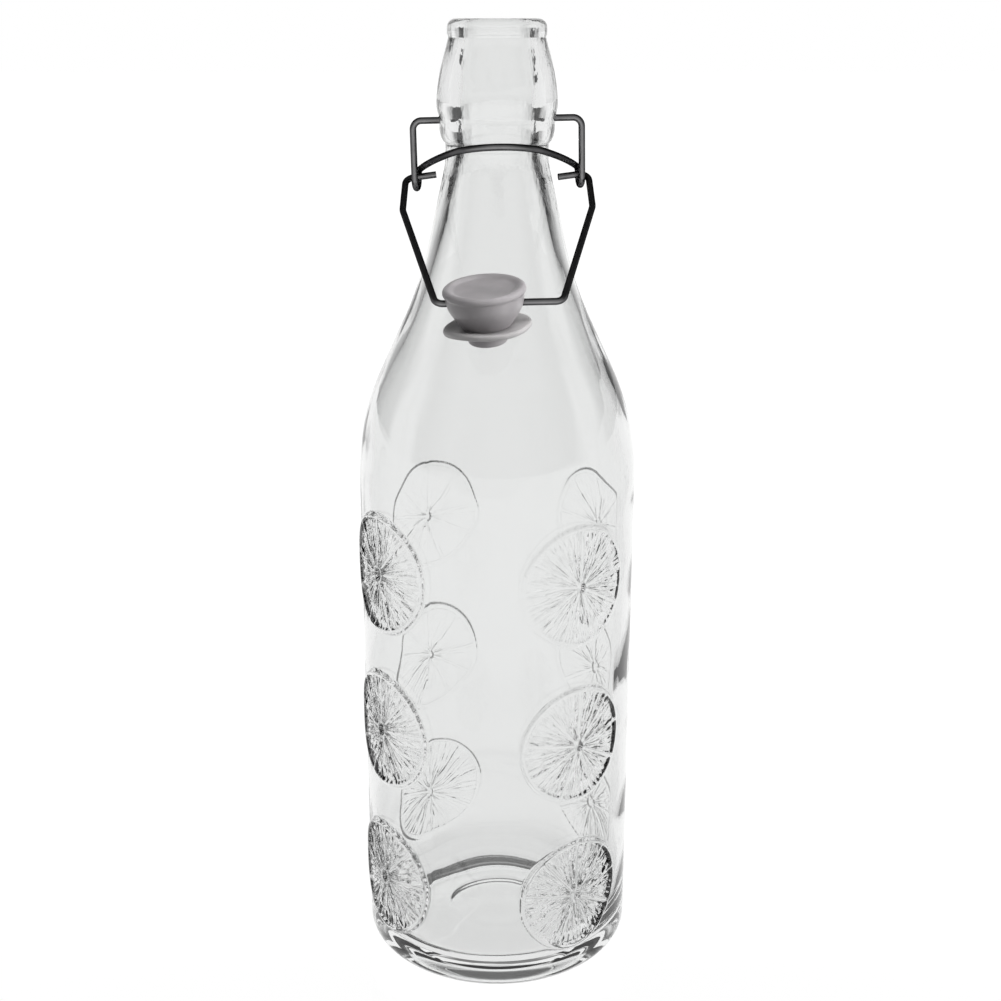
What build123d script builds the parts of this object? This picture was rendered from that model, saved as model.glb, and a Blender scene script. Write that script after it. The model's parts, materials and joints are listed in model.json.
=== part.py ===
"""Swing top bottle: an embossed glass bottle closed by a stopper on a two-piece wire bail.

Frame: millimetres, +Z up along the bottle's axis, origin at the centre of the base on
the plane that the bottle stands on. The closure opens towards -Y. The wires are drawn
with the lever's handle down at the neck and the bail swung forward, clear of the mouth.
"""

import os
from math import asin, cos, radians, sin, tan

from build123d import *

os.makedirs("parts", exist_ok=True)

# ---------------------------------------------------------------- glass body
BODY_R = 44.0  # outside radius of the straight body
BODY_WALL = 3.2  # glass thickness of the straight body
HEEL_R = 7.2  # rounding between the body and the base
BODY_TOP_Z = 164.5  # where the body turns into the shoulder
SHOULDER_R = 81.0  # convex arc of the shoulder
SHOULDER_ANGLE = 25.0  # steepest slope of the shoulder, from upright
SHOULDER_RUN = 17.5  # straight run of the shoulder between its two arcs
HOLLOW_R = 113.0  # concave arc between the shoulder and the neck
NECK_ANGLE = 12.5  # slope of the conical neck, from upright
NECK_R = 15.6  # narrowest radius of the neck, under the finish

# ---------------------------------------------------------------- base
BASE_DISC_R = 16.0  # flat disc in the middle of the underside
BASE_DISC_Z = 4.0  # its height over the standing plane
BASE_STEP_R = 31.0  # outer step of the underside
BASE_STEP_Z = 1.0
STANDING_RING_R = 33.8  # inner edge of the standing ring
FLOOR_Z = 9.5  # inside floor at the axis
FLOOR_CORNER_R = 11.0  # rounding between the floor and the wall, inside

# ---------------------------------------------------------------- finish (mouth of the bottle)
FINISH_BOTTOM_Z = 268.8
FINISH_FOOT_R = 16.2  # its lower edge
FINISH_MAX_R = 18.25  # widest radius of the barrel
NOTCH_R = 14.55  # groove under the bead
NOTCH_Z = 298.4
RIM_ROUND = 2.5  # rounding of the bead's top
RIM_Z = 303.8  # top of the bottle
RIM_R = 14.8  # outside radius of the bead
MOUTH_R = 9.95  # true cylinder at the mouth
MOUTH_LENGTH = 6.6
MOUTH_LIP_R = 1.4  # rounding from the bore to the rim
PIVOT_Z = 275.0  # axis of the lever's pins
DIMPLE_BOTTOM_X = 14.8  # bottom of each blind pin hole, from the axis
RUNNING_FIT = 0.06  # radial clearance of a wire in its hole

# ---------------------------------------------------------------- embossed citrus slices
SLICE_R = 19.6
SLICE_RELIEF = 0.9  # height of the rind over the body
PULP_DEPTH = 0.6  # depth of the pulp pockets below the rind
RIND_WIDTH = 1.6
MEMBRANE_WIDTH = 1.4  # wall between two segments
CORE_R = 2.9  # plain middle of a slice
PIP_R = 1.0  # dimple at its very centre
SEGMENTS = 9
SLICE_HEIGHTS = (139.0, 86.0, 32.4)
SLICE_AZIMUTHS = (-55.4, 34.6, 124.6, 214.6)  # from -Y, turning towards +X

# ---------------------------------------------------------------- wires
WIRE_R = 1.0
CLOSURE_LEAN = -1.2  # turn of the whole closure about Y: its left side hangs lower
ARM_X = 25.35  # centreline of the lever's upright arms
PIN_TIP_X = 15.1
ARM_BEND_R = 2.6
EYE_Z = 257.6  # centre height of the eyes
EYE_R = 2.8  # centreline radius of an eye
EYE_TWIST = 9.0  # turn of the eye about Z, so that its end passes the arm
HANDLE_RISE = 15.6  # slope of the handle over the horizontal
HANDLE_FOOT_SLANT = 15.0  # how far each leg of the handle points inwards at its eye, in its plane
HANDLE_TOP_SLANT = 31.0  # and where the curved leg runs into the bow
HANDLE_R = 15.7  # radius of the thumb bow
BAIL_SHIFT = -0.4  # the bail has slid this far along X in the eyes
BAIL_Z = 258.0  # height of the bail's stubs in the eyes
BAIL_DROP = 35.4  # slope of the bail below the horizontal
BAIL_LENGTH = 53.6  # from the stubs to the crossbar
STUB_TIP_X = 18.6
STUB_SKEW = 9.5  # both stubs are bent out of square by this angle
BAIL_SIDE_X = 27.8  # where a side leaves its stub
BAIL_KINK_X = 28.4
BAIL_KINK = 14.5  # distance of the kink from the stubs
CROSSBAR_X = 18.1  # half of the crossbar, corner to corner
BAIL_RADII = (3.0, 5.0, 2.7)  # bends at the stub, kink and corner

# ---------------------------------------------------------------- stopper, measured from its wire hole
STOPPER_X = -4.0  # where it sits along the crossbar
STOPPER_TILT = 4.2  # sideways lean, top towards -X, which the loose wire hole allows
STOPPER_NOD = 9.3  # forward lean, top towards -Y, with the gasket's back on the shoulder
WIRE_HOLE_R = 1.95
CAP_R = 11.95
CAP_TOP = 4.1
CAP_DISH = 0.9  # depth of the hollow in its top
BOWL_R = 11.2  # bowl under the cap, level with the wire
FLANGE_R = 7.2  # lower end of the bowl, which presses on the gasket
STEM_R = 4.6
NOSE_R = 5.9
NOSE_BOTTOM = -12.7
GASKET_TOP = -7.5
GASKET_THICKNESS = 2.2
GASKET_R = 12.8
GASKET_GAP = 0.05


def polar(radius, angle):
    """Point at radius and angle (degrees from the first axis) as a pair."""
    return radius * cos(radians(angle)), radius * sin(radians(angle))


# ================================================================ bottle
# Key points of the outline as (radius, height).
shoulder_centre = (BODY_R - SHOULDER_R, BODY_TOP_Z)
shoulder_end = tuple(Vector(*shoulder_centre) + Vector(*polar(SHOULDER_R, SHOULDER_ANGLE)))[:2]
run_dx, run_dz = polar(SHOULDER_RUN, 90 + SHOULDER_ANGLE)
hollow_start = (shoulder_end[0] + run_dx, shoulder_end[1] + run_dz)
hollow_centre = tuple(Vector(*hollow_start) + Vector(*polar(HOLLOW_R, SHOULDER_ANGLE)))[:2]
hollow_mid = tuple(
    Vector(*hollow_centre) - Vector(*polar(HOLLOW_R, (SHOULDER_ANGLE + NECK_ANGLE) / 2))
)[:2]
hollow_end = tuple(Vector(*hollow_centre) - Vector(*polar(HOLLOW_R, NECK_ANGLE)))[:2]
neck_length = (hollow_end[0] - NECK_R) / sin(radians(NECK_ANGLE))
neck_top = (NECK_R, hollow_end[1] + neck_length * cos(radians(NECK_ANGLE)))
inner_r = BODY_R - BODY_WALL
mouth_top_z = RIM_Z - MOUTH_LIP_R
mouth_bottom_z = mouth_top_z - MOUTH_LENGTH

# The closure is drawn upright and then leaned about the middle of its pins.
lean = Location((0, 0, PIVOT_Z), (0, CLOSURE_LEAN, 0)) * Location((0, 0, -PIVOT_Z))
pin_axis = Vector(cos(radians(CLOSURE_LEAN)), 0, -sin(radians(CLOSURE_LEAN)))

# One slice's rind: a disc that follows the curve of the body and stands proud of it.
with BuildPart() as rind:
    with BuildSketch(Plane.XZ):
        Circle(SLICE_R)
    extrude(amount=BODY_R + 5)
    with BuildSketch(Plane.XY.offset(-SLICE_R - 1)):
        Circle(BODY_R + SLICE_RELIEF)
        Circle(BODY_R - 1, mode=Mode.SUBTRACT)
    extrude(amount=2 * SLICE_R + 2, mode=Mode.INTERSECT)

# Its pulp: a pocket for each segment and a dimple at the centre.
with BuildPart() as pulp:
    with BuildSketch(Plane.XZ):
        Circle(SLICE_R - RIND_WIDTH)
        Circle(CORE_R, mode=Mode.SUBTRACT)
        with PolarLocations(SLICE_R / 2, SEGMENTS, start_angle=10):
            Rectangle(SLICE_R, MEMBRANE_WIDTH, mode=Mode.SUBTRACT)
        Circle(PIP_R)
    extrude(amount=BODY_R + 5)
    with BuildSketch(Plane.XY.offset(-SLICE_R - 1)):
        Circle(BODY_R + 5)
        Circle(BODY_R + SLICE_RELIEF - PULP_DEPTH, mode=Mode.SUBTRACT)
    extrude(amount=2 * SLICE_R + 2, mode=Mode.INTERSECT)

slice_places = [
    Location((0, 0, height), (0, 0, azimuth))
    for azimuth in SLICE_AZIMUTHS
    for height in SLICE_HEIGHTS
]

with BuildPart() as bottle:
    with BuildSketch(Plane.XZ):
        with BuildLine():
            # underside, from the axis out to the heel
            Polyline(
                (0, BASE_DISC_Z),
                (BASE_DISC_R, BASE_DISC_Z),
                (BASE_DISC_R + 1, BASE_DISC_Z - 0.7),
                (BASE_STEP_R - 3, BASE_STEP_Z + 1.3),
                (BASE_STEP_R, BASE_STEP_Z),
                (STANDING_RING_R, 0),
                (BODY_R - HEEL_R, 0),
            )
            RadiusArc((BODY_R - HEEL_R, 0), (BODY_R, HEEL_R), -HEEL_R)
            # body, shoulder and neck
            Line((BODY_R, HEEL_R), (BODY_R, BODY_TOP_Z))
            RadiusArc((BODY_R, BODY_TOP_Z), shoulder_end, -SHOULDER_R)
            Line(shoulder_end, hollow_start)
            ThreePointArc(hollow_start, hollow_mid, hollow_end)
            Line(hollow_end, neck_top)
            # finish: rounded underside, barrel, notch under the bead, bead
            Polyline(neck_top, (NECK_R, FINISH_BOTTOM_Z), (FINISH_FOOT_R, FINISH_BOTTOM_Z))
            Spline(
                (FINISH_FOOT_R, FINISH_BOTTOM_Z),
                (17.35, 270.9),
                (17.4, 275.0),
                (FINISH_MAX_R, 279.5),
                (17.5, 286.5),
                (16.3, 292.0),
                (15.4, 295.2),
                (NOTCH_R, NOTCH_Z),
                tangents=[(1, 0), (-0.1, 1)],
            )
            Line((NOTCH_R, NOTCH_Z), (RIM_R, NOTCH_Z + 1))
            Line((RIM_R, NOTCH_Z + 1), (RIM_R, RIM_Z - RIM_ROUND))
            RadiusArc((RIM_R, RIM_Z - RIM_ROUND), (RIM_R - RIM_ROUND, RIM_Z), -RIM_ROUND)
            Line((RIM_R - RIM_ROUND, RIM_Z), (MOUTH_R + MOUTH_LIP_R, RIM_Z))
            RadiusArc((MOUTH_R + MOUTH_LIP_R, RIM_Z), (MOUTH_R, mouth_top_z), -MOUTH_LIP_R)
            # inside, from the mouth down to the floor
            Line((MOUTH_R, mouth_top_z), (MOUTH_R, mouth_bottom_z))
            Spline(
                (MOUTH_R, mouth_bottom_z),
                (11.5, 283.4),
                (10.75, 271.5),
                (11.6, 261.5),
                (17.8, 237.5),
                (26.0, 214.0),
                (33.4, 197.5),
                (inner_r, BODY_TOP_Z),
                tangents=[(0, -1), (0, -1)],
            )
            Line((inner_r, BODY_TOP_Z), (inner_r, FLOOR_Z - 1 + FLOOR_CORNER_R))
            RadiusArc(
                (inner_r, FLOOR_Z - 1 + FLOOR_CORNER_R),
                (inner_r - FLOOR_CORNER_R, FLOOR_Z - 1),
                FLOOR_CORNER_R,
            )
            Polyline((inner_r - FLOOR_CORNER_R, FLOOR_Z - 1), (0, FLOOR_Z), (0, BASE_DISC_Z))
        make_face()
    revolve(axis=Axis.Z)
    # embossed slices
    with Locations(slice_places):
        add(rind.part)
    with Locations(slice_places):
        add(pulp.part, mode=Mode.SUBTRACT)
    # blind holes for the lever's pins
    for pin_direction in (pin_axis, -pin_axis):
        hole_bottom = Vector(0, 0, PIVOT_Z) + pin_direction * DIMPLE_BOTTOM_X
        with BuildSketch(Plane(origin=hole_bottom, z_dir=pin_direction)):
            Circle(WIRE_R + RUNNING_FIT)
        extrude(amount=10, mode=Mode.SUBTRACT)
bottle.part.label = "bottle"
export_step(bottle.part, "parts/bottle.step")


# ================================================================ lever wire
# One half runs pin, arm, eye, leg and half of the bow; the other half is its mirror.
upward = Vector(0, 0, 1)
eye_across = Vector(-sin(radians(EYE_TWIST)), cos(radians(EYE_TWIST)), 0)
foot_slant = radians(HANDLE_FOOT_SLANT)
top_slant = radians(HANDLE_TOP_SLANT)
bow_along = Vector(0, -cos(radians(HANDLE_RISE)), sin(radians(HANDLE_RISE)))
leg_heading = Vector(-sin(foot_slant), 0, 0) + bow_along * cos(foot_slant)
leg_level = Vector(leg_heading.X, leg_heading.Y, 0).normalized()
leg_climb = asin(leg_heading.Z)

arm_foot = Vector(ARM_X, 0, EYE_Z)
eye_bottom = arm_foot + eye_across * EYE_R - upward * EYE_R
eye_back = arm_foot + eye_across * 2 * EYE_R
over_centre = eye_back + leg_level * EYE_R
over_turn = radians(90) - leg_climb


def over_point(turn):
    """Point of the eye's upper arc after turning by so many radians from its back."""
    return over_centre - leg_level * EYE_R * cos(turn) + upward * EYE_R * sin(turn)


leg_start = over_point(over_turn)
leg_radius = (leg_start.X - HANDLE_R * cos(top_slant)) / (cos(foot_slant) - cos(top_slant))


def leg_point(slant):
    """Point of a leg, which bends steadily inwards, where it has come to this slant."""
    inwards = leg_radius * (cos(foot_slant) - cos(slant))
    ahead = leg_radius * (sin(slant) - sin(foot_slant))
    return leg_start - Vector(inwards, 0, 0) + bow_along * ahead


leg_end = leg_point(top_slant)
bow_rise = HANDLE_R * (1 - sin(top_slant))
bow_top = Vector(0, leg_end.Y, leg_end.Z) + bow_along * bow_rise
bow_centre = bow_top - bow_along * HANDLE_R
bow_mid_x, bow_mid_u = polar(HANDLE_R, (90 + HANDLE_TOP_SLANT) / 2)
bow_mid = bow_centre + Vector(bow_mid_x, 0, 0) + bow_along * bow_mid_u

with BuildPart() as lever_wire:
    with BuildLine() as lever_path:
        FilletPolyline((PIN_TIP_X, 0, PIVOT_Z), (ARM_X, 0, PIVOT_Z), arm_foot, radius=ARM_BEND_R)
        ThreePointArc(arm_foot, eye_bottom, eye_back)
        ThreePointArc(eye_back, over_point(over_turn / 2), leg_start)
        ThreePointArc(leg_start, leg_point((foot_slant + top_slant) / 2), leg_end)
        ThreePointArc(leg_end, bow_mid, bow_top)
    with BuildSketch(Plane.YZ.offset(PIN_TIP_X)):
        with Locations((0, PIVOT_Z)):
            Circle(WIRE_R)
    sweep(path=lever_path.wires()[0])
    mirror(about=Plane.YZ)
lever_wire.part.locate(lean)
lever_wire.part.label = "lever_wire"
export_step(lever_wire.part, "parts/lever_wire.step")


# ================================================================ bail wire
eye_centre_y = EYE_R * cos(radians(EYE_TWIST))
bail_origin = Vector(BAIL_SHIFT, eye_centre_y, BAIL_Z)
drop = radians(BAIL_DROP)
bail_plane = Plane(origin=bail_origin, x_dir=(1, 0, 0), z_dir=(0, sin(drop), -cos(drop)))

skew = tan(radians(STUB_SKEW))
corner_s = (BAIL_SIDE_X - ARM_X) * skew
tip_s = (ARM_X - STUB_TIP_X) * skew

with BuildPart() as bail_wire:
    with BuildLine(bail_plane) as bail_path:
        FilletPolyline(
            (STUB_TIP_X, tip_s),
            (BAIL_SIDE_X, -corner_s),
            (BAIL_KINK_X, BAIL_KINK),
            (CROSSBAR_X, BAIL_LENGTH),
            (-CROSSBAR_X, BAIL_LENGTH),
            (-BAIL_KINK_X, BAIL_KINK),
            (-BAIL_SIDE_X, corner_s),
            (-STUB_TIP_X, -tip_s),
            radius=BAIL_RADII + BAIL_RADII[::-1],
        )
    with BuildSketch(Plane(origin=bail_path.wires()[0] @ 0, z_dir=bail_path.wires()[0] % 0)):
        Circle(WIRE_R)
    sweep(path=bail_path.wires()[0])
bail_wire.part.locate(lean)
bail_wire.part.label = "bail_wire"
export_step(bail_wire.part, "parts/bail_wire.step")


# ================================================================ stopper and gasket
# Both are turned about stopper_axis, which leans away from upright by the tilt and nod.
crossbar = (lean * Location(bail_plane.from_local_coords(Vector(STOPPER_X, BAIL_LENGTH, 0)))).position
tilt = radians(STOPPER_TILT)
nod = radians(STOPPER_NOD)
stopper_axis = Vector(-sin(tilt), -cos(tilt) * sin(nod), cos(tilt) * cos(nod))
stopper_across = Vector(cos(tilt), -sin(tilt) * sin(nod), sin(tilt) * cos(nod))
stopper_plane = Plane(origin=crossbar, x_dir=stopper_across, z_dir=stopper_across.cross(stopper_axis))
gasket_bottom = GASKET_TOP - GASKET_THICKNESS

with BuildPart() as stopper:
    with BuildSketch(stopper_plane):
        with BuildLine():
            Line((0, NOSE_BOTTOM), (NOSE_R - 1.2, NOSE_BOTTOM))
            RadiusArc((NOSE_R - 1.2, NOSE_BOTTOM), (NOSE_R, NOSE_BOTTOM + 1.2), -1.2)
            Polyline(
                (NOSE_R, NOSE_BOTTOM + 1.2),
                (NOSE_R, gasket_bottom - GASKET_GAP - 0.4),
                (STEM_R, gasket_bottom - GASKET_GAP),
                (STEM_R, GASKET_TOP + GASKET_GAP),
                (FLANGE_R, GASKET_TOP + GASKET_GAP),
            )
            ThreePointArc((FLANGE_R, GASKET_TOP + GASKET_GAP), (10.1, -2.8), (BOWL_R, 0))
            Line((BOWL_R, 0), (BOWL_R + 0.2, 1.8))
            ThreePointArc((BOWL_R + 0.2, 1.8), (CAP_R, 3.1), (CAP_R - 0.9, CAP_TOP))
            Spline(
                (CAP_R - 0.9, CAP_TOP),
                (CAP_R - 2.6, CAP_TOP - 0.6),
                (0, CAP_TOP - CAP_DISH),
                tangents=[(-1, 0), (-1, 0)],
            )
            Line((0, CAP_TOP - CAP_DISH), (0, NOSE_BOTTOM))
        make_face()
    revolve(axis=Axis(crossbar, stopper_axis))
    # hole for the crossbar
    with BuildSketch(Plane(origin=crossbar, z_dir=stopper_across)):
        Circle(WIRE_HOLE_R)
    extrude(amount=2 * CAP_R, both=True, mode=Mode.SUBTRACT)
stopper.part.label = "stopper"
export_step(stopper.part, "parts/stopper.step")

with BuildPart() as gasket:
    with BuildSketch(stopper_plane):
        with BuildLine():
            inner_edge = STEM_R + GASKET_GAP
            Polyline(
                (GASKET_R - 0.9, GASKET_TOP),
                (inner_edge, GASKET_TOP),
                (inner_edge, gasket_bottom),
                (GASKET_R - 0.9, gasket_bottom + 0.3),
            )
            ThreePointArc(
                (GASKET_R - 0.9, gasket_bottom + 0.3),
                (GASKET_R, GASKET_TOP - 0.95),
                (GASKET_R - 0.9, GASKET_TOP),
            )
        make_face()
    revolve(axis=Axis(crossbar, stopper_axis))
gasket.part.label = "gasket"
export_step(gasket.part, "parts/gasket.step")

# ================================================================ summary
print("bottle outline:", shoulder_end, hollow_start, hollow_end, neck_top)
print("lever: eye centre y %.2f, leg radius %.1f, bow top %s" % (eye_centre_y, leg_radius, bow_top))
print("stub line at", (lean * Location(bail_origin)).position, "pin axis", pin_axis)
print("stopper's wire hole at", crossbar)
print("glass volume %.1f cm3" % (bottle.part.volume / 1000))
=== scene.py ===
"""Swing top bottle: pressed clear glass with citrus slices, steel wires, moulded stopper, soft gasket.

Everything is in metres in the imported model's frame: +Z up, origin at the centre of the base,
closure hanging open towards -Y. Profiles are written in millimetres and scaled by MM.
"""

import json
from math import asin, atan2, cos, hypot, pi, radians, sin, tan

import bmesh
import bpy
import numpy as np
from mathutils import Matrix, Vector

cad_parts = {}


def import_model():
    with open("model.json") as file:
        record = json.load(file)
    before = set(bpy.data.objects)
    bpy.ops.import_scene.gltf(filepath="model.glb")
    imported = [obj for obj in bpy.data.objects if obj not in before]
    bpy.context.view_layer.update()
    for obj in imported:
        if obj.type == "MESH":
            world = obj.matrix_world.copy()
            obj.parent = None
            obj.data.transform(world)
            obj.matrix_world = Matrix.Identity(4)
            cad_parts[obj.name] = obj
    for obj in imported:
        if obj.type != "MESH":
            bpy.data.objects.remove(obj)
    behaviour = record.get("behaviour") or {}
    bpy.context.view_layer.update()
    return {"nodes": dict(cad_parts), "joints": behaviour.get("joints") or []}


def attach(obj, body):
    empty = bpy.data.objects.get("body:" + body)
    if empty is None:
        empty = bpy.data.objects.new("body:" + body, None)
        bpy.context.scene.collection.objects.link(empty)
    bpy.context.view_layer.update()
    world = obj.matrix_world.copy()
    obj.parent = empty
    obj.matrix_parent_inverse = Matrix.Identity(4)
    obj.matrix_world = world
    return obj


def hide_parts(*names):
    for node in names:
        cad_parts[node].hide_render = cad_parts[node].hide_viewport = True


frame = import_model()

MM = 0.001
SEED = 7

# ---------------------------------------------------------------- sizes of the glass, in mm
BODY_R = 44.0
WALL = 3.2
HEEL_R = 7.2
BODY_TOP_Z = 164.5
SHOULDER_R = 81.0
SHOULDER_ANGLE = 25.0
SHOULDER_RUN = 17.5
HOLLOW_R = 113.0
NECK_ANGLE = 12.5
NECK_R = 15.6
RIM_Z = 303.8
RIM_R = 14.8
RIM_ROUND = 2.5
MOUTH_R = 9.95
LIP_ROUND = 1.4
FLOOR_Z = 8.5
FLOOR_CORNER_R = 7.0
HUB_R = 1.2  # the flat facet in the middle of the floor and of the underside
SEAM_Z = 265.6  # fine ring left by the joint of the neck mould
SEAM_RELIEF = 0.14

# ---------------------------------------------------------------- unevenness of the glass, in mm
SKIN_RIPPLE = 0.03
BORE_RIPPLE = 0.10
WALL_RIPPLE = 0.27  # inside the body, where the glass was blown out

# ---------------------------------------------------------------- embossed slices, in mm
SLICE_R = 19.6
SLICE_HEIGHTS = (32.4, 86.0, 139.0)
FIRST_COLUMN = -55.4  # degrees from -Y towards +X, then every quarter turn
SLICE_RELIEF = 0.95
SEGMENTS = 9
FIRST_MEMBRANE = 0.17  # radians from the horizontal
PULP_DEPTH = 0.55
JUICE_RELIEF = 0.40
JUICE_RINGS = ((3.2, 9.0, 26), (7.6, 14.0, 43), (12.2, 18.4, 61))  # from radius, to radius, cells round
PULP_STRENGTH = (  # by column, lowest slice first; the last two columns are the far ones
    (1.4, 1.4, 1.4),
    (2.4, 1.5, 0.7),
    (0.6, 0.5, 0.4),
    (0.6, 0.45, 0.35),
)
RIND = 1.5
FINE_STEP = 0.5  # grid spacing over the slices
FINE_HALF = SLICE_R + 0.6
GAP_COLUMNS = 14
GAP_ROWS = 5

# ---------------------------------------------------------------- stopper
STOPPER_TILT = radians(4.2)
STOPPER_NOD = radians(9.3)
SEAT_RISE = 0.8  # the moulding sits this much higher on the crossbar, in mm
CROSS_HOLE_R = 1.95
GASKET_R = 12.8
FLAT_R = 6.5  # the gasket is flat up to this radius and wavy beyond it

# ---------------------------------------------------------------- camera, fitted to the photograph
EYE_BACK = 10.754  # in front of the axis, in body radii
EYE_UP = 6.941  # over the table, in body radii
EYE_DIP = 17.616  # degrees below level


# ================================================================ small helpers
def smoothstep(low, high, value):
    """0 below low, 1 above high (or the reverse), with a soft ramp between them."""
    t = np.clip((value - low) / (high - low), 0.0, 1.0)
    return t * t * (3.0 - 2.0 * t)


def link(obj, body, replaced):
    """Puts a piece in the scene, riding on a body and standing for a CAD node."""
    if obj.name not in bpy.context.scene.collection.objects:
        bpy.context.scene.collection.objects.link(obj)
    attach(obj, body)
    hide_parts(replaced)


def mesh_object(name, vertices, faces, material):
    """A smooth mesh object from points in millimetres."""
    mesh = bpy.data.meshes.new(name)
    mesh.from_pydata([tuple(v) for v in np.asarray(vertices, float) * MM], [], faces)
    mesh.validate()
    mesh.shade_smooth()
    mesh.materials.append(material)
    return bpy.data.objects.new(name, mesh)


def arc(start, end, radius, steps, bulge):
    """Points after start up to end on an arc; bulge 1 swells to the right of the way, -1 to the left."""
    a, b = np.array(start, float), np.array(end, float)
    half = np.linalg.norm(b - a) / 2
    along = (b - a) / (2 * half)
    side = np.array([along[1], -along[0]]) * bulge
    centre = (a + b) / 2 - side * (radius**2 - half**2) ** 0.5
    sweep = 2 * asin(half / radius)
    first = a - centre
    points = []
    for i in range(1, steps + 1):
        t = bulge * sweep * i / steps
        x = centre[0] + first[0] * cos(t) - first[1] * sin(t)
        y = centre[1] + first[0] * sin(t) + first[1] * cos(t)
        points.append((x, y))
    return points


def flowing(points, steps):
    """A smooth curve through points (Catmull-Rom), without its first point."""
    p = [np.array(q, float) for q in points]
    p = [2 * p[0] - p[1]] + p + [2 * p[-1] - p[-2]]
    out = []
    for i in range(1, len(p) - 2):
        rise = p[i + 1] - p[i - 1]
        square = 2 * p[i - 1] - 5 * p[i] + 4 * p[i + 1] - p[i + 2]
        cube = 3 * p[i] - p[i - 1] - 3 * p[i + 1] + p[i + 2]
        for k in range(1, steps + 1):
            t = k / steps
            out.append(tuple(0.5 * (2 * p[i] + rise * t + square * t**2 + cube * t**3)))
    return out


def rounded(points, cuts):
    """A polyline with its corners cut, ends kept (Chaikin)."""
    p = [np.array(q, float) for q in points]
    for _ in range(cuts):
        q = [p[0]]
        for a, b in zip(p, p[1:]):
            q += [0.75 * a + 0.25 * b, 0.25 * a + 0.75 * b]
        p = q + [p[-1]]
    return [tuple(q) for q in p]


class Waves:
    """Smooth seeded noise over angle and height: a few cosines whose angular counts are whole."""

    def __init__(self, seed, counts, wavelengths):
        rng = np.random.default_rng(seed)
        self.terms = []
        for count in counts:
            for wavelength in wavelengths:
                phase = rng.uniform(0, 2 * pi)
                turn = rng.uniform(0, 2 * pi)
                self.terms.append((count, 2 * pi / wavelength, phase, turn))

    def __call__(self, angle, z):
        total = np.zeros(np.broadcast(angle, z).shape)
        for count, rate, phase, turn in self.terms:
            total = total + np.cos(count * angle + turn) * np.cos(rate * z + phase)
        return total / len(self.terms) ** 0.5


# ================================================================ node helpers
def grey(value):
    """An opaque grey as a socket's colour."""
    return (value, value, value, 1.0)


WHITE = grey(1.0)


def new_material(name):
    """A node material and its Principled shader."""
    material = bpy.data.materials.new(name)
    material.use_nodes = True
    return material, material.node_tree.nodes["Principled BSDF"]


def add_node(tree, kind, **values):
    """A node with some sockets or properties set by name."""
    node = tree.nodes.new(kind)
    for key, value in values.items():
        if key in node.inputs:
            node.inputs[key].default_value = value
        else:
            setattr(node, key, value)
    return node


def feed(tree, value, socket):
    """Links value to a socket if it is itself a socket, and sets it there if it is a number or a colour."""
    if isinstance(value, bpy.types.NodeSocket):
        tree.links.new(value, socket)
    else:
        socket.default_value = value


def maths(tree, operation, a, b=None):
    """One Math node; a and b are sockets or numbers."""
    node = tree.nodes.new("ShaderNodeMath")
    node.operation = operation
    feed(tree, a, node.inputs[0])
    if b is not None:
        feed(tree, b, node.inputs[1])
    return node.outputs[0]


def distance(tree, a, b):
    """Length of the vector (a, b)."""
    return maths(tree, "SQRT", maths(tree, "ADD", maths(tree, "POWER", a, 2.0), maths(tree, "POWER", b, 2.0)))


def soft_step(tree, value, low, high):
    """0 below low, 1 above high, with a smooth ramp between them."""
    node = add_node(tree, "ShaderNodeMapRange", interpolation_type="SMOOTHSTEP")
    node.inputs["From Min"].default_value = low
    node.inputs["From Max"].default_value = high
    tree.links.new(value, node.inputs[0])
    return node.outputs[0]


def spread(tree, value, low, high):
    """A value from 0 to 1 stretched to run from low to high."""
    node = add_node(tree, "ShaderNodeMapRange")
    node.inputs["To Min"].default_value = low
    node.inputs["To Max"].default_value = high
    tree.links.new(value, node.inputs[0])
    return node.outputs[0]


def colour_ramp(tree, value, stops):
    """Colour by value; stops are (position, colour), from low to high."""
    node = add_node(tree, "ShaderNodeValToRGB")
    elements = node.color_ramp.elements
    elements[0].position = stops[0][0]
    elements[1].position = stops[-1][0]
    for position, _ in stops[1:-1]:
        elements.new(position)
    for element, (_, colour) in zip(elements, stops):
        element.color = colour
    tree.links.new(value, node.inputs[0])
    return node.outputs[0]


def mixed(tree, factor, first, second, blend_type="MIX"):
    """A mix of two colours; each argument is a socket or a value."""
    node = add_node(tree, "ShaderNodeMix", data_type="RGBA", blend_type=blend_type)
    for index, value in ((0, factor), (6, first), (7, second)):
        feed(tree, value, node.inputs[index])
    return node.outputs[2]


def noise_height(tree, coordinate, scale, detail, stretch=(1, 1, 1)):
    """Factor of a noise texture over object coordinates, scaled and stretched."""
    mapping = add_node(tree, "ShaderNodeMapping")
    mapping.inputs["Scale"].default_value = stretch
    texture = add_node(tree, "ShaderNodeTexNoise", Scale=scale, Detail=detail)
    tree.links.new(coordinate, mapping.inputs["Vector"])
    tree.links.new(mapping.outputs[0], texture.inputs["Vector"])
    return texture.outputs["Fac"]


def bump(tree, height, reach, strength, below=None):
    """A bump node's normal; below is the normal that it adds to."""
    node = add_node(tree, "ShaderNodeBump", Strength=strength, Distance=reach)
    tree.links.new(height, node.inputs["Height"])
    if below is not None:
        tree.links.new(below, node.inputs["Normal"])
    return node.outputs[0]


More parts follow.
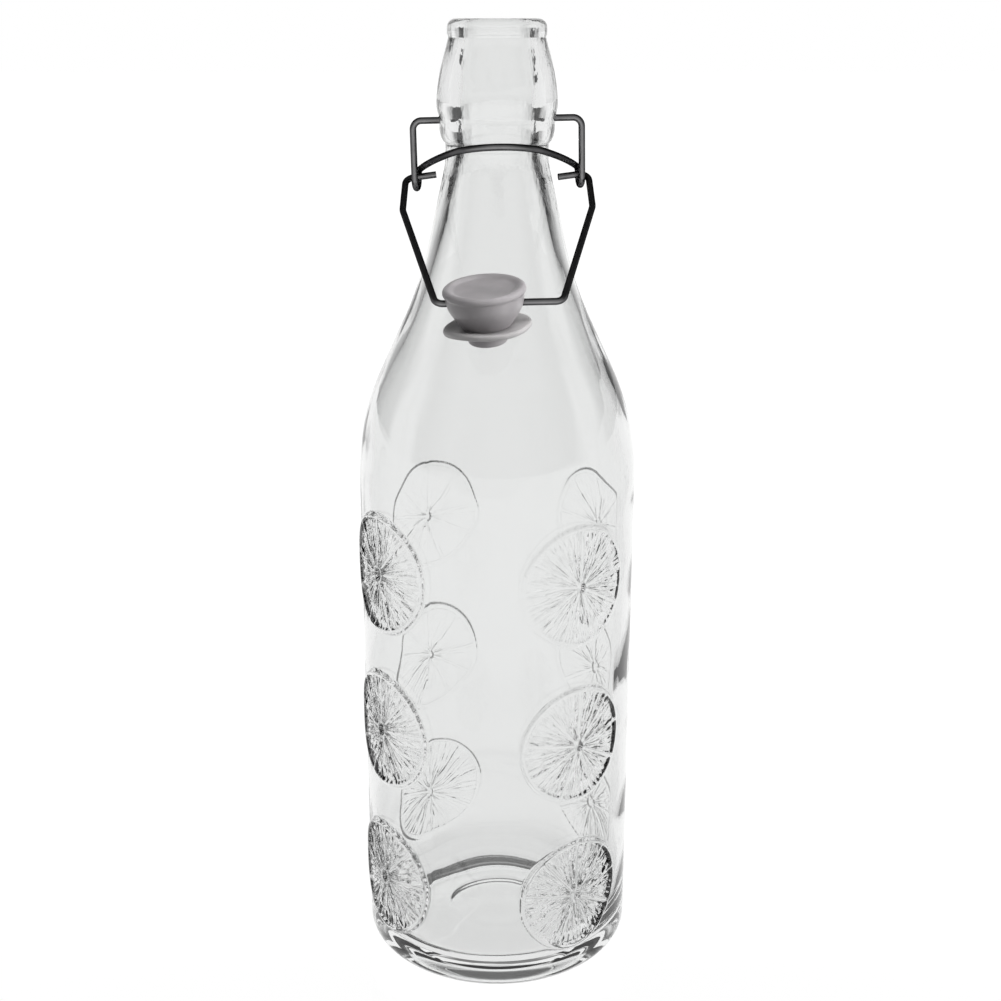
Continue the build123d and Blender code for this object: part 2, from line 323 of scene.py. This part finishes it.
# ================================================================ materials
def slice_place(tree, x, y, z):
    """Place in the nearest slice: radius in mm and turn in radians about its middle, and its row's number.

    The rows are taken as evenly spaced, which is true to 0.3 mm.
    """
    quarter = pi / 2
    around = maths(tree, "ARCTAN2", x, maths(tree, "MULTIPLY", y, -1.0))
    turned = maths(tree, "ADD", around, 4 * quarter + quarter / 2 - radians(FIRST_COLUMN))
    from_column = maths(tree, "SUBTRACT", maths(tree, "MODULO", turned, quarter), quarter / 2)
    u = maths(tree, "MULTIPLY", from_column, BODY_R)
    pitch = (SLICE_HEIGHTS[2] - SLICE_HEIGHTS[0]) / 2
    raised = maths(tree, "ADD", maths(tree, "MULTIPLY", z, 1 / MM), pitch / 2 - SLICE_HEIGHTS[0] + pitch)
    v = maths(tree, "SUBTRACT", maths(tree, "MODULO", raised, pitch), pitch / 2)
    row = maths(tree, "FLOOR", maths(tree, "DIVIDE", raised, pitch))
    return distance(tree, u, v), maths(tree, "ARCTAN2", v, u), row


def juice_height(tree, x, y, z):
    """Fine juice cells on the slices: long cells that point at the middle, with none along the membranes."""
    radius, turn, row = slice_place(tree, x, y, z)
    cells = add_node(tree, "ShaderNodeCombineXYZ")
    cells_per_radian, cells_per_mm, row_shift = 8.5, 0.13, 3.7
    tree.links.new(maths(tree, "MULTIPLY", turn, cells_per_radian), cells.inputs[0])
    tree.links.new(maths(tree, "MULTIPLY", radius, cells_per_mm), cells.inputs[1])
    tree.links.new(maths(tree, "MULTIPLY", row, row_shift), cells.inputs[2])
    voronoi = add_node(tree, "ShaderNodeTexVoronoi", feature="DISTANCE_TO_EDGE", Scale=1.0, Randomness=0.9)
    tree.links.new(cells.outputs[0], voronoi.inputs["Vector"])
    height = maths(tree, "MINIMUM", voronoi.outputs["Distance"], 0.28)
    segments = maths(tree, "MULTIPLY", maths(tree, "ADD", turn, 4 * pi - FIRST_MEMBRANE), SEGMENTS / (2 * pi))
    share = maths(tree, "FRACT", segments)
    from_membrane = maths(tree, "MINIMUM", share, maths(tree, "SUBTRACT", 1.0, share))
    in_front = maths(tree, "LESS_THAN", y, 0.0)
    in_lowest_row = maths(tree, "LESS_THAN", z, (SLICE_HEIGHTS[0] + SLICE_R + 2.0) * MM)
    factors = (
        maths(tree, "LESS_THAN", radius, SLICE_R - RIND - 0.2),
        maths(tree, "GREATER_THAN", distance(tree, x, y), (BODY_R - 0.6) * MM),
        maths(tree, "LESS_THAN", z, (SLICE_HEIGHTS[2] + SLICE_R) * MM),
        maths(tree, "GREATER_THAN", maths(tree, "MULTIPLY", from_membrane, radius), 0.75),
        spread(tree, in_front, 0.25, 1.0),  # the far side's cells show weakly
        spread(tree, in_lowest_row, 1.0, 2.2),  # the lowest slices are pressed sharpest
    )
    for factor in factors:
        height = maths(tree, "MULTIPLY", height, factor)
    return height


def glass_material():
    """Clear pressed glass: slow waves all over, fine streaks round the bore, juice cells on the slices."""
    material, shader = new_material("clear_glass")
    tree = material.node_tree
    shader.inputs["Base Color"].default_value = (0.91, 0.915, 0.912, 1.0)
    shader.inputs["Transmission Weight"].default_value = 1.0
    shader.inputs["IOR"].default_value = 1.51
    shader.inputs["Roughness"].default_value = 0.0
    place = add_node(tree, "ShaderNodeTexCoord").outputs["Object"]
    split = add_node(tree, "ShaderNodeSeparateXYZ")
    tree.links.new(place, split.inputs[0])
    x, y, z = split.outputs
    waves = bump(tree, noise_height(tree, place, 22.0, 2.0, (1.0, 1.0, 0.45)), 0.004, 0.05)
    in_neck = soft_step(tree, z, 0.235, 0.27)
    streaks = maths(tree, "MULTIPLY", noise_height(tree, place, 330.0, 3.0, (1.0, 1.0, 0.35)), in_neck)
    streaky = bump(tree, streaks, 0.0006, 0.32, waves)
    tree.links.new(bump(tree, juice_height(tree, x, y, z), 0.0012, 0.9, streaky), shader.inputs["Normal"])
    return material


def steel_material():
    """Dark drawn wire with fine scratches and cloudy patches, and a painted highlight: paler where it faces
    the eye, darker towards its edges.
    """
    material, shader = new_material("steel_wire")
    tree = material.node_tree
    place = add_node(tree, "ShaderNodeTexCoord").outputs["Object"]
    patches = noise_height(tree, place, 260.0, 4.0)
    grain = noise_height(tree, place, 1500.0, 2.0, (0.25, 1.0, 1.0))
    cloudy = colour_ramp(tree, patches, ((0.3, (0.75, 0.75, 0.76, 1.0)), (0.75, (1.0, 0.99, 1.0, 1.0))))
    # painted highlight and shade: the base colour is paler where the wire faces the eye and darker towards
    # its edges
    facing = add_node(tree, "ShaderNodeLayerWeight", Blend=0.5).outputs["Facing"]
    painted_highlight = colour_ramp(tree, facing, ((0.01, grey(0.33)), (0.20, (0.12, 0.12, 0.122, 1.0))))
    tree.links.new(mixed(tree, 1.0, cloudy, painted_highlight, "MULTIPLY"), shader.inputs["Base Color"])
    shader.inputs["Metallic"].default_value = 1.0
    shader.inputs["Specular Tint"].default_value = grey(0.0)
    tree.links.new(spread(tree, grain, 0.26, 0.46), shader.inputs["Roughness"])
    tree.links.new(bump(tree, patches, 0.0002, 0.35), shader.inputs["Normal"])
    return material


def plastic_material(name, light, dark, roughness, scatter):
    """Milky moulded plastic or silicone with faint clouding and a fine surface."""
    material, shader = new_material(name)
    tree = material.node_tree
    place = add_node(tree, "ShaderNodeTexCoord").outputs["Object"]
    clouds = noise_height(tree, place, 120.0, 3.0)
    fine = noise_height(tree, place, 1800.0, 2.0)
    tree.links.new(colour_ramp(tree, clouds, ((0.35, dark), (0.65, light))), shader.inputs["Base Color"])
    tree.links.new(spread(tree, clouds, roughness - 0.06, roughness + 0.08), shader.inputs["Roughness"])
    shader.inputs["Subsurface Weight"].default_value = scatter
    shader.inputs["Subsurface Radius"].default_value = (0.0022, 0.0021, 0.0021)
    shader.inputs["Subsurface Scale"].default_value = 1.0
    tree.links.new(bump(tree, fine, 0.00005, 0.25), shader.inputs["Normal"])
    return material


GLASS = glass_material()
STEEL = steel_material()
STOPPER = plastic_material("stopper_plastic", (0.385, 0.367, 0.377, 1), (0.31, 0.295, 0.304, 1), 0.34, 0.10)
GASKET = plastic_material("gasket_rubber", (0.46, 0.45, 0.45, 1), (0.38, 0.37, 0.372, 1), 0.38, 0.35)


# ================================================================ bottle
def juice_ridges(radius, turn, rng):
    """Staggered rings of tapering ridges that point at the middle of a slice, from 0 to 1."""
    ridges = np.zeros(radius.shape)
    for low, high, count in JUICE_RINGS:
        place = turn * count / (2 * pi) + rng.uniform(0, 1)
        index = np.floor(place).astype(int) % count
        start = low + rng.uniform(-1.2, 1.2, count)[index]
        end = high + rng.uniform(-1.6, 0.4, count)[index]
        lift = rng.uniform(0.55, 1.0, count)[index]
        across = 1.0 - (2.0 * (place - np.floor(place)) - 1.0) ** 2
        along = np.clip((radius - start) / (end - start), 0, 1)
        ridges = np.maximum(ridges, lift * across * np.clip(4.0 * along * (1.0 - along), 0, 1) ** 0.6)
    return ridges


def slice_relief(u, v, seed, strength):
    """Height of one citrus slice over the body, at places (u, v) from its centre, in mm."""
    rng = np.random.default_rng(seed)
    radius = np.hypot(u, v)
    turn = np.arctan2(v, u)
    edge = SLICE_R + 0.12 * np.cos(3 * turn + rng.uniform(0, 6)) + 0.08 * np.cos(7 * turn + rng.uniform(0, 6))
    height = SLICE_RELIEF * smoothstep(edge, edge - 0.6, radius)
    # a pocket of pulp between every two membranes
    share = ((turn - FIRST_MEMBRANE) * SEGMENTS / (2 * pi)) % 1.0
    nearest = radius * np.minimum(share, 1.0 - share) * 2 * pi / SEGMENTS
    pocket = (
        smoothstep(0.35, 1.0, nearest)
        * smoothstep(SLICE_R - RIND, SLICE_R - RIND - 0.9, radius)
        * smoothstep(2.4, 3.4, radius)
    )
    height = height - strength * pocket * (PULP_DEPTH - JUICE_RELIEF * juice_ridges(radius, turn, rng))
    # a small oval pit with a soft collar in the middle
    oval = np.hypot(u, 0.72 * v)
    height = height - 1.0 * smoothstep(1.7, 0.7, oval) + 0.2 * np.exp(-(((oval - 1.9) / 0.5) ** 2))
    return np.where(radius < SLICE_R + 0.4, height, 0.0)


def all_slices(angle, z):
    """Relief of the twelve slices at angles (from -Y towards +X) and heights."""
    height = np.zeros(angle.shape)
    for column in range(4):
        middle = radians(FIRST_COLUMN + 90 * column)
        u = ((angle - middle + pi) % (2 * pi) - pi) * BODY_R
        for row, centre in enumerate(SLICE_HEIGHTS):
            v = z - centre
            near = (np.abs(u) < SLICE_R + 1) & (np.abs(v) < SLICE_R + 1)
            if near.any():
                seed = SEED + 10 * column + row
                height[near] += slice_relief(u[near], v[near], seed, PULP_STRENGTH[column][row])
    return height


def column_angles():
    """Angles of the fine grid: close together over the slices, wider between the columns."""
    half = FINE_HALF / BODY_R
    steps = int(round(2 * FINE_HALF / FINE_STEP))
    steps += steps % 2
    angles = []
    for column in range(4):
        middle = radians(FIRST_COLUMN + 90 * column)
        angles += list(np.linspace(middle - half, middle + half, steps, endpoint=False))
        angles += list(np.linspace(middle + half, middle + pi / 2 - half, GAP_COLUMNS, endpoint=False))
    return np.array(angles)


def slice_rows():
    """Heights of the fine grid's rows, from below the lowest slices to above the highest."""
    rows = []
    count = int(round(2 * FINE_HALF / FINE_STEP))
    for centre in SLICE_HEIGHTS:
        if rows:
            rows += list(np.linspace(rows[-1], centre - FINE_HALF, GAP_ROWS + 2)[1:-1])
        rows += list(np.linspace(centre - FINE_HALF, centre + FINE_HALF, count))
    return rows


def underside_profile():
    """(radius, height) of the underside and the heel, from the middle outwards."""
    points = rounded(
        [(HUB_R, 4.0), (10.0, 4.0), (15.2, 4.0), (16.4, 3.3), (22.0, 2.9), (27.5, 2.4), (30.5, 1.1)]
        + [(33.2, 0.35), (34.4, 0.0), (BODY_R - HEEL_R, 0.0)],
        1,
    )
    points += arc((BODY_R - HEEL_R, 0.0), (BODY_R, HEEL_R), HEEL_R, 9, 1)
    return points


def outer_profile():
    """(radius, height) of the outside above the slices, from the body up to the top of the rim."""
    shoulder_centre = np.array([BODY_R - SHOULDER_R, BODY_TOP_Z])
    turn = radians(SHOULDER_ANGLE)
    shoulder_end = shoulder_centre + SHOULDER_R * np.array([cos(turn), sin(turn)])
    run_end = shoulder_end + SHOULDER_RUN * np.array([-sin(turn), cos(turn)])
    hollow_centre = run_end + HOLLOW_R * np.array([cos(turn), sin(turn)])
    flat = radians(NECK_ANGLE)
    hollow_end = hollow_centre - HOLLOW_R * np.array([cos(flat), sin(flat)])
    neck_top = (NECK_R, hollow_end[1] + (hollow_end[0] - NECK_R) / tan(flat))
    points = [(BODY_R, BODY_TOP_Z)]
    points += arc(points[-1], shoulder_end, SHOULDER_R, 10, 1)
    points += flowing([shoulder_end, (shoulder_end + run_end) / 2, run_end], 2)
    points += arc(run_end, hollow_end, HOLLOW_R, 9, -1)
    points += [tuple(hollow_end + (np.array(neck_top) - hollow_end) * t) for t in (0.25, 0.5, 0.75, 0.92)]
    points += [(NECK_R + 0.12, neck_top[1] + 0.4)]
    for offset in (-0.9, -0.45, 0.0, 0.45, 0.9):
        points.append((NECK_R + SEAM_RELIEF * (offset == 0.0), SEAM_Z + offset))
    points += rounded(
        [(NECK_R, 267.2), (15.7, 268.1), (16.3, 268.6), (16.95, 269.9), (17.35, 271.6), (17.4, 273.0)], 2
    )
    points += flowing(
        [(17.4, 273.0), (17.42, 274.0), (17.45, 275.3), (18.1, 278.0), (18.25, 280.2), (17.9, 284.0)]
        + [(17.25, 288.0), (16.3, 292.0), (15.4, 295.2), (14.6, 298.1)],
        3,
    )
    points += rounded([(14.5, 298.5), (14.62, 299.0), (RIM_R, 299.6), (RIM_R, 301.3)], 2)
    points += arc((RIM_R, RIM_Z - RIM_ROUND), (RIM_R - RIM_ROUND, RIM_Z), RIM_ROUND, 7, 1)
    return points


def inner_profile():
    """(radius, height) of the inside, from the top of the rim down to the middle of the floor."""
    inner_r = BODY_R - WALL
    points = [(RIM_R - RIM_ROUND - 0.5, RIM_Z)]
    points += arc((MOUTH_R + LIP_ROUND, RIM_Z), (MOUTH_R, RIM_Z - LIP_ROUND), LIP_ROUND, 5, 1)
    points += flowing(
        [(MOUTH_R, RIM_Z - LIP_ROUND), (MOUTH_R, 299.0), (MOUTH_R, 295.8), (10.9, 289.5), (11.5, 283.4)]
        + [(11.3, 277.0), (10.75, 271.5), (10.8, 266.5), (11.6, 261.5), (14.4, 249.5), (17.8, 237.5)],
        4,
    )
    points += flowing(
        [(17.8, 237.5), (21.7, 225.5), (26.0, 214.0), (33.4, 197.5), (38.4, 182.0), (inner_r, BODY_TOP_Z)], 4
    )
    points += [(inner_r, z) for z in np.linspace(158, 19, 24)]
    corner_end = (inner_r - FLOOR_CORNER_R, FLOOR_Z)
    points += arc((inner_r, FLOOR_Z + FLOOR_CORNER_R), corner_end, FLOOR_CORNER_R, 8, -1)
    points += flowing([corner_end, (24.0, 8.6), (18.0, 8.9), (11.0, 9.3), (5.0, 9.5), (HUB_R, 9.5)], 2)
    return points


def glass_rings():
    """Rings of (angles, radii, heights): out along the underside, up the outside and down the inside."""
    fine = column_angles()
    coarse = fine[::2]
    skin_waves = Waves(SEED + 1, (2, 3, 5), (38.0, 61.0, 23.0))
    wall_waves = Waves(SEED + 2, (1, 2, 3, 5), (90.0, 47.0, 27.0))
    bore_waves = Waves(SEED + 3, (1, 2, 3, 5), (44.0, 23.0, 11.0))
    rings = []

    def add_ring(angles, radius, z, relief):
        rings.append((angles, radius + relief, np.full(angles.shape, z)))

    for radius, z in underside_profile():
        # the standing ring stays flat and round, and the ripple fades out towards the middle
        fade = min(radius / 20, 1) * (z > 0.01)
        add_ring(coarse, radius, z, SKIN_RIPPLE * skin_waves(coarse, z) * fade)
    for z in slice_rows():
        relief = all_slices(fine, np.full(fine.shape, z)) + SKIN_RIPPLE * skin_waves(fine, z)
        add_ring(fine, BODY_R, z, relief)
    for radius, z in outer_profile():
        add_ring(coarse, radius, z, SKIN_RIPPLE * skin_waves(coarse, z))
    for radius, z in inner_profile():
        in_bore = np.clip((z - 225) / 25, 0, 1) * np.clip((298 - z) / 8, 0, 1)
        in_body = np.clip((235 - z) / 30, 0, 1) * np.clip(radius / 30, 0, 1)
        relief = BORE_RIPPLE * in_bore * bore_waves(coarse, z) + WALL_RIPPLE * in_body * wall_waves(coarse, z)
        add_ring(coarse, radius, z, relief)
    return rings


def stitched(rings):
    """Vertices and faces of a closed skin over rings, each with as many points as the last, half or twice."""
    vertices, starts = [], []
    for angles, radii, heights in rings:
        starts.append(len(vertices))
        vertices += list(zip(np.sin(angles) * radii, -np.cos(angles) * radii, heights))
    counts = [len(angles) for angles, _, _ in rings]
    faces = []
    for low, n, high, m in zip(starts, counts, starts[1:], counts[1:]):
        if n == m:
            for i in range(n):
                j = (i + 1) % n
                faces.append((low + i, low + j, high + j, high + i))
            continue
        few, many, up = (low, high, True) if n < m else (high, low, False)
        count = min(n, m)
        for i in range(count):
            j = (i + 1) % count
            p, q, r = many + 2 * i, many + 2 * i + 1, many + (2 * i + 2) % (2 * count)
            trio = [(few + i, few + j, q), (few + i, q, p), (few + j, r, q)]
            faces += trio if up else [t[::-1] for t in trio]
    faces.append(tuple(reversed(range(counts[0]))))
    faces.append(tuple(range(starts[-1], len(vertices))))
    return vertices, faces


def bottle_piece():
    """The glass as one closed mesh, with real relief outside and an uneven wall inside."""
    vertices, faces = stitched(glass_rings())
    link(mesh_object("bottle_glass", vertices, faces, GLASS), "bottle", "bottle")


# ================================================================ stopper and gasket
def hinge_place(name):
    """Position of a CAD joint, in mm."""
    for joint in frame["joints"]:
        if joint["name"] == name:
            return Vector(joint["pos_m"]) / MM
    raise ValueError(name)


def stopper_matrix():
    """Stopper's own axes (across, back, up) at the crossbar, in the frame."""
    tilt, nod = STOPPER_TILT, STOPPER_NOD
    up = Vector((-sin(tilt), -cos(tilt) * sin(nod), cos(tilt) * cos(nod)))
    across = Vector((cos(tilt), -sin(tilt) * sin(nod), sin(tilt) * cos(nod)))
    matrix = Matrix((across, up.cross(across), up)).transposed().to_4x4()
    matrix.translation = hinge_place("stopper_hinge")
    return matrix


def lathe(name, profile, segments, material, shape=None):
    """A closed mesh turned about the stopper's axis; shape bends its points before they are placed.

    The profile runs from axis to axis, or ends where it starts.
    """
    closed = profile[0] == profile[-1]
    vertices, rings = [], []
    for radius, z in profile[:-1] if closed else profile:
        count = segments if radius > 0.0 else 1
        rings.append(list(range(len(vertices), len(vertices) + count)))
        for i in range(count):
            a = 2 * pi * i / segments
            vertices.append((radius * cos(a), radius * sin(a), z))
    faces = []
    for a, b in zip(rings, rings[1:] + (rings[:1] if closed else [])):
        for i in range(segments):
            j = (i + 1) % segments
            if len(a) == 1:
                faces.append((a[0], b[j], b[i]))
            elif len(b) == 1:
                faces.append((a[i], a[j], b[0]))
            else:
                faces.append((a[i], a[j], b[j], b[i]))
    if shape:
        vertices = [shape(v) for v in vertices]
    matrix = stopper_matrix() @ Matrix.Translation((0.0, 0.0, SEAT_RISE))
    obj = mesh_object(name, [tuple(matrix @ Vector(v)) for v in vertices], faces, material)
    work = bmesh.new()
    work.from_mesh(obj.data)
    bmesh.ops.recalc_face_normals(work, faces=work.faces)
    work.to_mesh(obj.data)
    work.free()
    return obj


def crossbar_drill():
    """A cylinder along the crossbar, longer than the stopper is wide."""
    mesh = bpy.data.meshes.new("drill")
    work = bmesh.new()
    along_bar = stopper_matrix() @ Matrix.Rotation(radians(90), 4, "Y")
    radius = CROSS_HOLE_R
    bmesh.ops.create_cone(
        work, cap_ends=True, segments=48, radius1=radius, radius2=radius, depth=40, matrix=along_bar
    )
    bmesh.ops.scale(work, vec=(MM, MM, MM), verts=work.verts)
    work.to_mesh(mesh)
    work.free()
    return bpy.data.objects.new("drill", mesh)


def stopper_piece():
    """Moulded stopper: dished cap with a rolled rim, bowl, stem and nose, drilled for the crossbar."""
    profile = [(0.0, 3.25), (2.5, 3.26), (5.0, 3.3), (7.2, 3.36)]
    profile += flowing([(7.2, 3.36), (8.7, 3.5), (9.7, 3.95), (10.5, 4.2), (11.2, 4.12), (11.75, 3.72)], 3)
    profile += flowing([(11.75, 3.72), (11.95, 3.1), (11.85, 2.5), (11.5, 2.05), (11.38, 1.5)], 3)
    profile += flowing([(11.38, 1.5), (11.25, 0.4), (10.95, -1.1), (10.2, -2.8), (9.1, -4.6), (7.9, -6.3)], 3)
    profile += rounded([(7.3, -7.0), (7.15, -7.42), (6.2, -7.45), (4.6, -7.45)], 2)
    profile += rounded([(4.6, -7.6), (4.6, -9.6), (4.6, -9.75)], 1)
    profile += rounded([(5.6, -9.9), (5.9, -10.2), (5.9, -11.4), (5.6, -12.3), (4.7, -12.7), (3.2, -12.7)], 2)
    profile += [(0.0, -12.7)]
    obj = lathe("stopper_body", profile, 112, STOPPER)
    drill = crossbar_drill()
    bpy.context.scene.collection.objects.link(obj)
    bpy.context.scene.collection.objects.link(drill)
    cut = obj.modifiers.new("cut", "BOOLEAN")
    cut.object = drill
    cut.operation = "DIFFERENCE"
    cut.solver = "EXACT"
    bpy.context.view_layer.update()
    drilled = bpy.data.meshes.new_from_object(obj.evaluated_get(bpy.context.evaluated_depsgraph_get()))
    obj.modifiers.clear()
    obj.data = drilled
    drilled.shade_smooth()
    drilled.set_sharp_from_angle(angle=radians(40))
    bpy.data.objects.remove(drill)
    link(obj, "closure", "stopper")


def gasket_piece():
    """Soft ring round the stem that has taken a wavy set and curls up at the front."""
    profile = rounded(
        [(4.65, -7.5), (8.0, -7.45), (12.0, -7.5), (12.75, -7.95), (GASKET_R, -8.6), (12.5, -9.3)]
        + [(11.4, -9.5), (8.0, -9.7), (4.65, -9.7), (4.65, -8.6), (4.65, -7.5)],
        2,
    )

    def wavy(v):
        x, y, z = v
        a = atan2(y, x)
        outwards = max(hypot(x, y) - FLAT_R, 0.0) / (GASKET_R - FLAT_R)
        rise = 0.30 * sin(2 * a + 0.6) + 0.22 * sin(3 * a + 2.2) + 0.35 * cos(a)
        front_curl = 2.0 * max(0.0, -sin(a)) ** 1.5
        wide = 1.0 + 0.012 * sin(3 * a + 0.4) + 0.008 * sin(5 * a)
        return (x * wide, y * wide, z + (rise + front_curl) * outwards)

    obj = lathe("gasket_ring", profile, 128, GASKET, wavy)
    link(obj, "closure", "gasket")


# ================================================================ wires, which keep their CAD shape
def steel_wires():
    """The CAD's own lever and bail, in steel."""
    for wire in ("lever_wire", "bail_wire"):
        node = frame["nodes"][wire]
        node.data.materials.clear()
        node.data.materials.append(STEEL)
        node.data.shade_smooth()
        node.data.set_sharp_from_angle(angle=radians(50))


# ================================================================ stage, light and camera
def table():
    """White table top that glows and is faintly glossy, wide enough to meet the white background.

    It glows less for diffuse rays, which light the plastic, and a little less through the glass.
    """
    material = bpy.data.materials.new("white_table")
    material.use_nodes = True
    tree = material.node_tree
    tree.nodes.clear()
    glow = add_node(tree, "ShaderNodeEmission", Color=WHITE)
    shine = add_node(tree, "ShaderNodeBsdfGlossy", Roughness=0.06)
    path = tree.nodes.new("ShaderNodeLightPath")
    for_diffuse = maths(tree, "MULTIPLY", path.outputs["Is Diffuse Ray"], 0.8)
    through_glass = maths(tree, "MULTIPLY", path.outputs["Is Transmission Ray"], 0.14)
    strength = maths(tree, "SUBTRACT", maths(tree, "SUBTRACT", 1.12, for_diffuse), through_glass)
    tree.links.new(strength, glow.inputs["Strength"])
    mix = add_node(tree, "ShaderNodeMixShader", Fac=0.12)
    out = tree.nodes.new("ShaderNodeOutputMaterial")
    tree.links.new(glow.outputs[0], mix.inputs[1])
    tree.links.new(shine.outputs[0], mix.inputs[2])
    tree.links.new(mix.outputs[0], out.inputs[0])
    mesh = bpy.data.meshes.new("table_top")
    half = 8.0
    below = -0.0002  # just under the standing ring
    corners = [(-half, -half, below), (half, -half, below), (half, half, below), (-half, half, below)]
    mesh.from_pydata(corners, [], [(0, 1, 2, 3)])
    mesh.materials.append(material)
    obj = bpy.data.objects.new("table_top", mesh)
    bpy.context.scene.collection.objects.link(obj)


def world():
    """White all round for the eye; dark cards at the sides for what the glass and steel bend and mirror."""
    scene_world = bpy.data.worlds.new("studio")
    bpy.context.scene.world = scene_world
    scene_world.use_nodes = True
    tree = scene_world.node_tree
    tree.nodes.clear()
    direction = add_node(tree, "ShaderNodeTexCoord").outputs["Generated"]
    split = add_node(tree, "ShaderNodeSeparateXYZ")
    tree.links.new(direction, split.inputs[0])
    x, y, z = split.outputs
    # from 0 straight behind the bottle, through 0.5 at either side, to 1 straight in front of it
    aside = maths(tree, "DIVIDE", maths(tree, "ABSOLUTE", maths(tree, "ARCTAN2", x, y)), pi)
    behind = [(0.0, 1.0), (0.06, 1.0), (0.13, 0.82), (0.2, 0.45), (0.28, 0.03), (0.40, 0.03)]
    side_window = [(0.44, 0.92), (0.56, 0.92)]
    in_front = [(0.60, 0.03), (0.8, 0.05), (1.0, 0.45)]
    stops = [(position, grey(value)) for position, value in behind + side_window + in_front]
    level = colour_ramp(tree, aside, stops)
    shown = mixed(tree, soft_step(tree, z, 0.34, 0.62), level, grey(0.06))
    path = tree.nodes.new("ShaderNodeLightPath")
    seen = mixed(tree, path.outputs["Is Camera Ray"], shown, WHITE)
    # a soft light behind the camera, for mirrored rays alone
    mirrored = maths(tree, "MULTIPLY", soft_step(tree, aside, 0.62, 0.8), path.outputs["Is Glossy Ray"])
    lifted = mixed(tree, mirrored, seen, grey(0.45))
    background = add_node(tree, "ShaderNodeBackground", Strength=1.0)
    out = tree.nodes.new("ShaderNodeOutputWorld")
    tree.links.new(lifted, background.inputs[0])
    tree.links.new(background.outputs[0], out.inputs[0])


def area_light(name, place, target, width, height, power):
    """A soft rectangular light that points at target, not seen in the glass or the steel."""
    data = bpy.data.lights.new(name, "AREA")
    data.shape = "RECTANGLE"
    data.size = width
    data.size_y = height
    data.energy = power
    obj = bpy.data.objects.new(name, data)
    obj.location = place
    obj.rotation_euler = (Vector(target) - Vector(place)).to_track_quat("-Z", "Y").to_euler()
    obj.visible_glossy = False
    obj.visible_transmission = False
    bpy.context.scene.collection.objects.link(obj)


def camera():
    """Eye level with the rim, looking down at the middle of the bottle."""
    data = bpy.data.cameras.new("view")
    data.sensor_width = 36.0
    data.lens = 55.21
    data.clip_start = 0.02
    data.clip_end = 50.0
    data.shift_x = 0.00336
    data.shift_y = -0.0005
    obj = bpy.data.objects.new("view", data)
    obj.location = (0.0, -EYE_BACK * BODY_R * MM, EYE_UP * BODY_R * MM)
    obj.rotation_euler = (radians(90.0 - EYE_DIP), 0.0, 0.0)
    bpy.context.scene.collection.objects.link(obj)
    bpy.context.scene.camera = obj


def render_settings():
    """Plain colours, and enough bounces for a ray to pass every wall of the bottle."""
    scene = bpy.context.scene
    scene.view_settings.view_transform = "Standard"
    scene.view_settings.look = "None"
    scene.cycles.max_bounces = 20
    scene.cycles.transmission_bounces = 20
    scene.cycles.glossy_bounces = 6
    scene.cycles.caustics_reflective = False


bottle_piece()
stopper_piece()
gasket_piece()
steel_wires()
table()
world()
area_light("front_right", (1.3, -0.45, 0.6), (0.0, 0.0, 0.22), 0.6, 0.8, 20.0)
area_light("top", (0.3, -0.3, 1.1), (0.0, 0.0, 0.2), 0.7, 0.5, 7.0)
camera()
render_settings()

bpy.context.view_layer.update()
